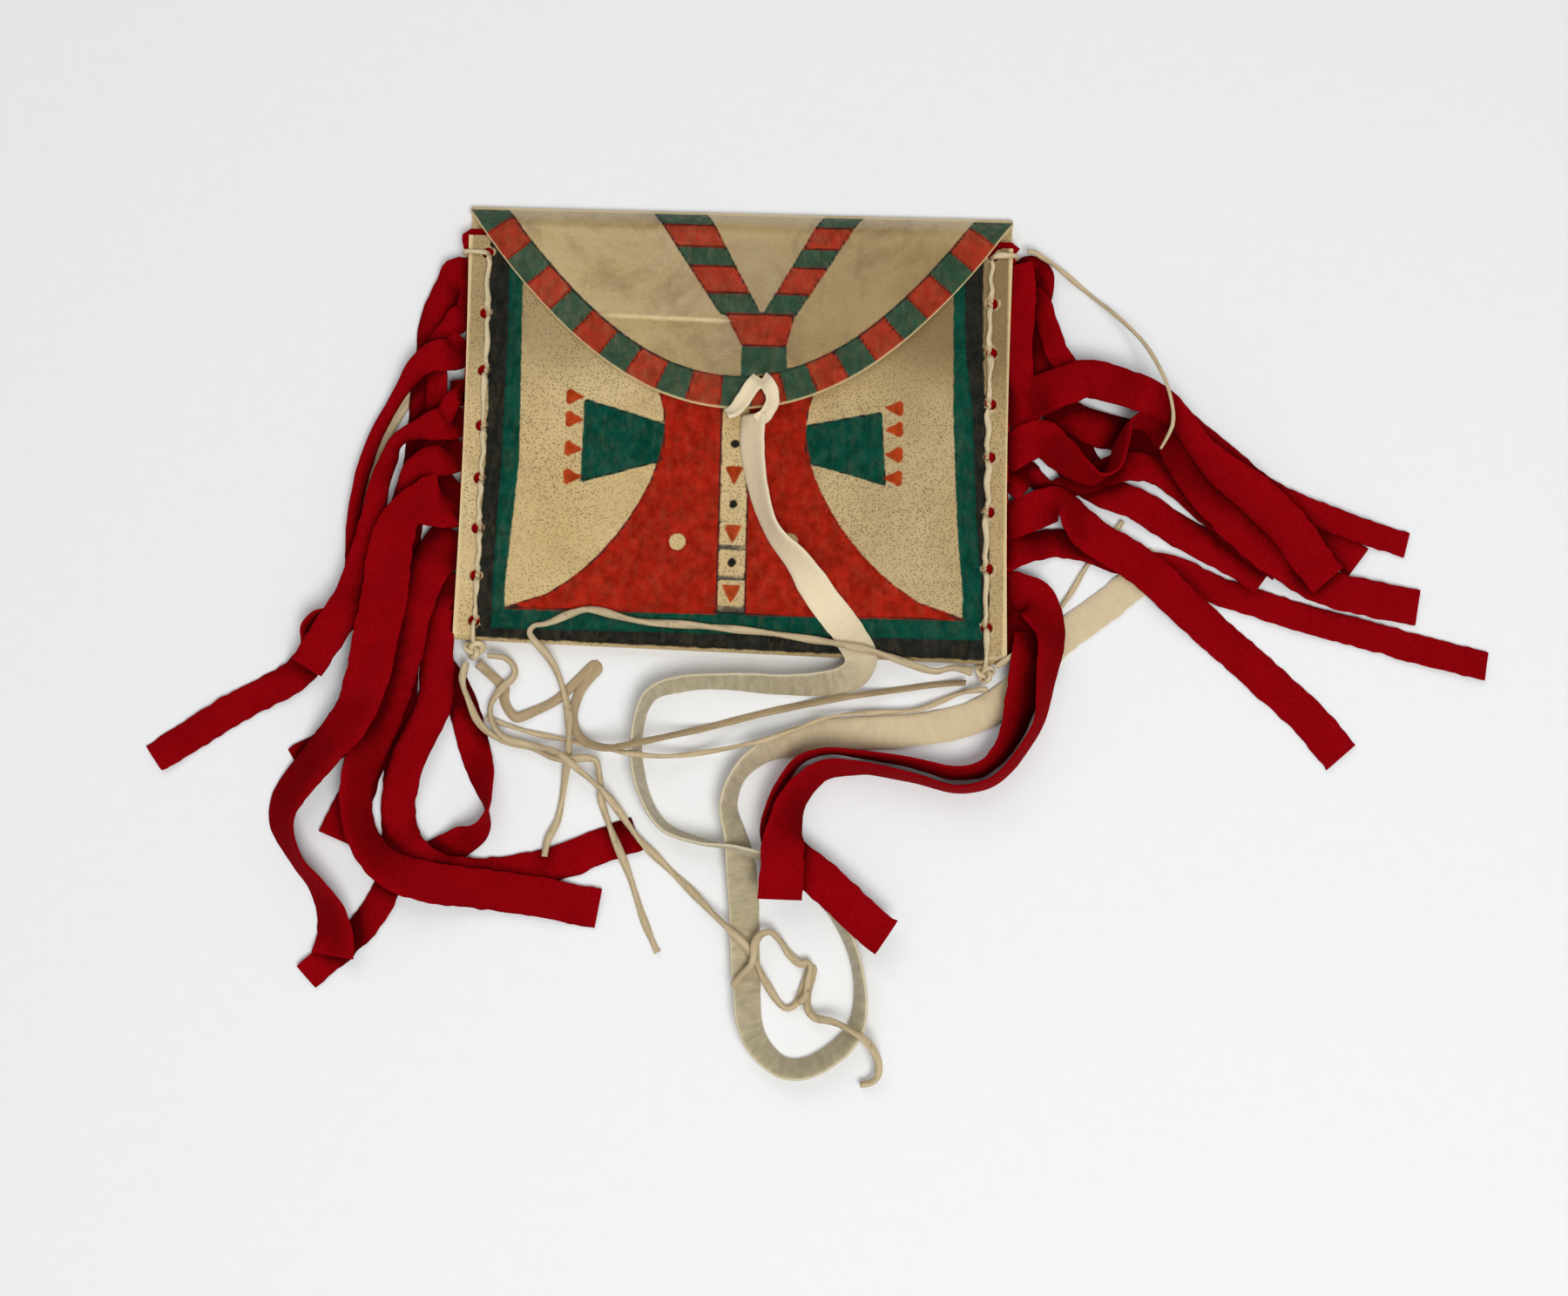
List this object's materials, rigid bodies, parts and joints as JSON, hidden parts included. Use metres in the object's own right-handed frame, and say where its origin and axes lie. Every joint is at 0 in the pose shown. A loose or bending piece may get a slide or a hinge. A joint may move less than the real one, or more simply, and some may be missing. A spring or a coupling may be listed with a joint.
{
  "type": "parfleche envelope",
  "caption": "Flat folded rawhide envelope with a swinging U-shaped flap, laced side seams, long cloth fringe at both sides and a thong tie with a loose tail.",
  "frame": {"origin": "middle of the envelope's back face, on the surface it lies on", "axes": "+X to the envelope's right seen from the front, +Y towards the flap crease, +Z out of the front panel"},
  "size_m": [0.3704, 0.2419, 0.0195],
  "materials": {
    "rawhide": "dried rawhide, satin, with painted fields",
    "lace": "dry twisted rawhide and sinew",
    "buckskin": "soft napped buckskin",
    "wool": "felted wool cloth"
  },
  "bodies": {
    "envelope": {"rawhide_envelope": "rawhide", "left_lace": "lace", "right_lace": "lace", "left_fringe": "wool", "right_fringe": "wool", "tie_tail": "buckskin", "right_sinew_end": "lace", "corner_lace": "lace", "right_lace_end": "lace", "left_lace_end_a": "lace", "left_lace_end_b": "lace", "right_sinew_top": "lace", "left_sinew_top": "lace"},
    "flap": {"flap": "rawhide", "tie_knot": "buckskin"}
  },
  "joints": [
    {"name": "flap_hinge", "type": "hinge", "parent": "envelope", "child": "flap", "pos_m": [0, 0.0608, 0.00135], "axis": [-1, 0, 0], "range_deg": [0, 120]}
  ]
}
